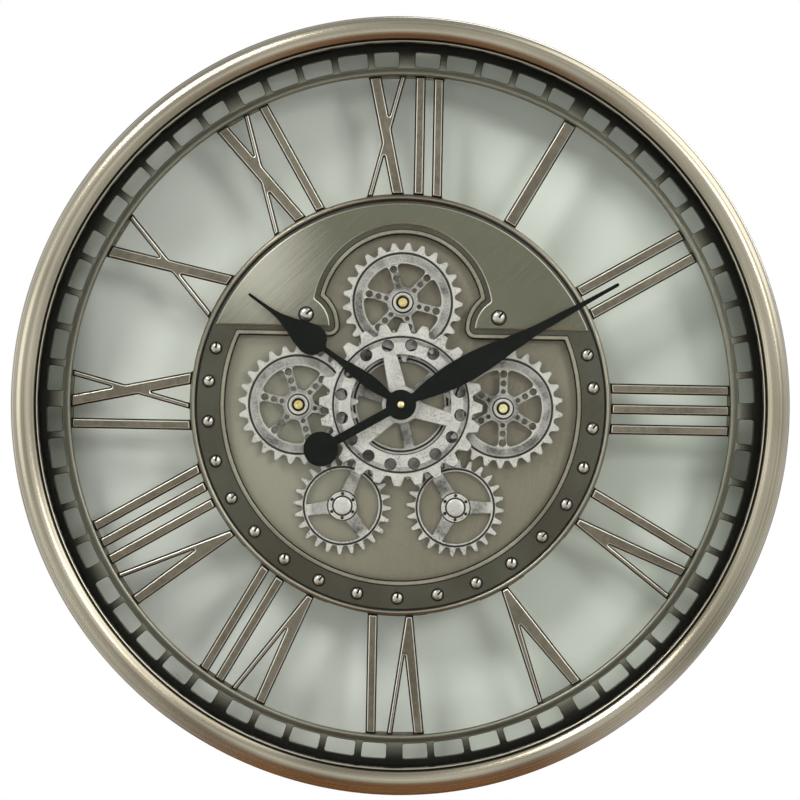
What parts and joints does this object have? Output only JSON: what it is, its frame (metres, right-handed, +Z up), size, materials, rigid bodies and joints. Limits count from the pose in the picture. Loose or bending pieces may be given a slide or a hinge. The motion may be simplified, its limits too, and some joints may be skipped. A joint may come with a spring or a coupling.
{
  "type": "gear wall clock",
  "caption": "Round metal wall clock with an open dial of raised roman numerals and a recessed centre disc of turning show gears behind glass.",
  "frame": {"origin": "point of the wall behind the centre of the dial, on the flat back of the rear cover", "axes": "+X to the viewer's right, +Y from the room into the wall, +Z up; the dial faces -Y"},
  "size_m": [0.52, 0.0651, 0.52],
  "materials": {
    "case_metal": "satin antique pewter",
    "dial_metal": "brushed antique pewter",
    "band_paint": "dark metallic paint",
    "gear_silver": "aged silver paint",
    "arbor_brass": "polished",
    "steel": "satin",
    "hand_black": "matte black",
    "clear_glass": "clear",
    "black_trim": "matte",
    "black_plastic": "matte",
    "works_grey": "moulded",
    "works_white": "moulded",
    "cell_wrap": "gloss"
  },
  "bodies": {
    "case": {"case_band": "case_metal", "bezel_ring": "case_metal", "glass": "clear_glass", "glass_gasket": "black_trim", "spacer_ring": "black_plastic", "chapter_ring": "dial_metal", "numeral_01": "dial_metal", "numeral_02": "dial_metal", "numeral_03": "dial_metal", "numeral_04": "dial_metal", "numeral_05": "dial_metal", "numeral_06": "dial_metal", "numeral_07": "dial_metal", "numeral_08": "dial_metal", "numeral_09": "dial_metal", "numeral_10": "dial_metal", "numeral_11": "dial_metal", "numeral_12": "dial_metal", "disc_rim": "dial_metal", "gear_plate": "dial_metal", "rivet_band": "band_paint", "top_plate": "dial_metal", "top_plate_screw_left": "steel", "top_plate_screw_right": "steel", "gear_motor": "steel", "train_plate": "works_grey", "quartz_movement": "works_grey", "bush_nut": "arbor_brass", "movement_cell": "cell_wrap", "battery_tray": "works_grey", "motor_cell": "cell_wrap", "rear_cover": "works_grey", "cover_screw_1": "steel", "cover_screw_2": "steel", "cover_screw_3": "steel", "cover_screw_4": "steel", "hanger_plate": "steel"},
    "center_train": {"upper_center_gear": "gear_silver", "lower_center_gear": "gear_silver", "center_tube": "steel", "center_drive_wheel": "works_white"},
    "top_train": {"top_gear": "gear_silver", "top_arbor": "arbor_brass", "top_drive_pinion": "works_white"},
    "left_train": {"left_gear": "gear_silver", "left_arbor": "arbor_brass", "left_drive_pinion": "works_white"},
    "right_train": {"right_gear": "gear_silver", "right_arbor": "arbor_brass", "right_drive_pinion": "works_white"},
    "bottom_left_train": {"bottom_left_gear": "gear_silver", "bottom_left_arbor": "steel"},
    "bottom_right_train": {"bottom_right_gear": "gear_silver", "bottom_right_arbor": "steel"},
    "motor_drive": {"motor_pinion": "works_white"},
    "minute": {"minute_hand": "hand_black", "hand_cap": "arbor_brass"},
    "hour": {"hour_hand": "hand_black"},
    "set_knob": {"time_set_knob": "works_grey"},
    "switch": {"gear_switch": "black_plastic"}
  },
  "joints": [
    {"name": "center_spin", "type": "hinge", "parent": "case", "child": "center_train", "pos_m": [0, -0.03, 0], "axis": [0, -1, 0], "continuous": true},
    {"name": "top_spin", "type": "hinge", "parent": "case", "child": "top_train", "pos_m": [0, -0.03, 0.068], "axis": [0, -1, 0], "continuous": true},
    {"name": "left_spin", "type": "hinge", "parent": "case", "child": "left_train", "pos_m": [-0.06799, -0.03, -0.00119], "axis": [0, -1, 0], "continuous": true},
    {"name": "right_spin", "type": "hinge", "parent": "case", "child": "right_train", "pos_m": [0.06799, -0.03, -0.00119], "axis": [0, -1, 0], "continuous": true},
    {"name": "bottom_left_spin", "type": "hinge", "parent": "case", "child": "bottom_left_train", "pos_m": [-0.03757, -0.03, -0.06778], "axis": [0, -1, 0], "continuous": true},
    {"name": "bottom_right_spin", "type": "hinge", "parent": "case", "child": "bottom_right_train", "pos_m": [0.03757, -0.03, -0.06778], "axis": [0, -1, 0], "continuous": true},
    {"name": "motor_spin", "type": "hinge", "parent": "case", "child": "motor_drive", "pos_m": [0.04207, -0.02, 0.04207], "axis": [0, -1, 0], "continuous": true},
    {"name": "minute_spin", "type": "hinge", "parent": "case", "child": "minute", "pos_m": [0, -0.03, 0], "axis": [0, 1, 0], "continuous": true},
    {"name": "hour_spin", "type": "hinge", "parent": "case", "child": "hour", "pos_m": [0, -0.03, 0], "axis": [0, 1, 0], "continuous": true},
    {"name": "set_knob_spin", "type": "hinge", "parent": "case", "child": "set_knob", "pos_m": [0, -0.003, -0.016], "axis": [0, 1, 0], "continuous": true},
    {"name": "switch_slide", "type": "slide", "parent": "case", "child": "switch", "axis": [1, 0, 0], "range_m": [0, 0.004]}
  ],
  "couplings": [
    {"joint": "top_spin", "follows": "center_spin", "ratio": -1.8571},
    {"joint": "left_spin", "follows": "center_spin", "ratio": -1.8571},
    {"joint": "right_spin", "follows": "center_spin", "ratio": -1.8571},
    {"joint": "bottom_left_spin", "follows": "center_spin", "ratio": -1.5833},
    {"joint": "bottom_right_spin", "follows": "center_spin", "ratio": -1.5833},
    {"joint": "motor_spin", "follows": "center_spin", "ratio": -2.8889},
    {"joint": "hour_spin", "follows": "minute_spin", "ratio": 0.083333},
    {"joint": "set_knob_spin", "follows": "minute_spin", "ratio": -1}
  ]
}
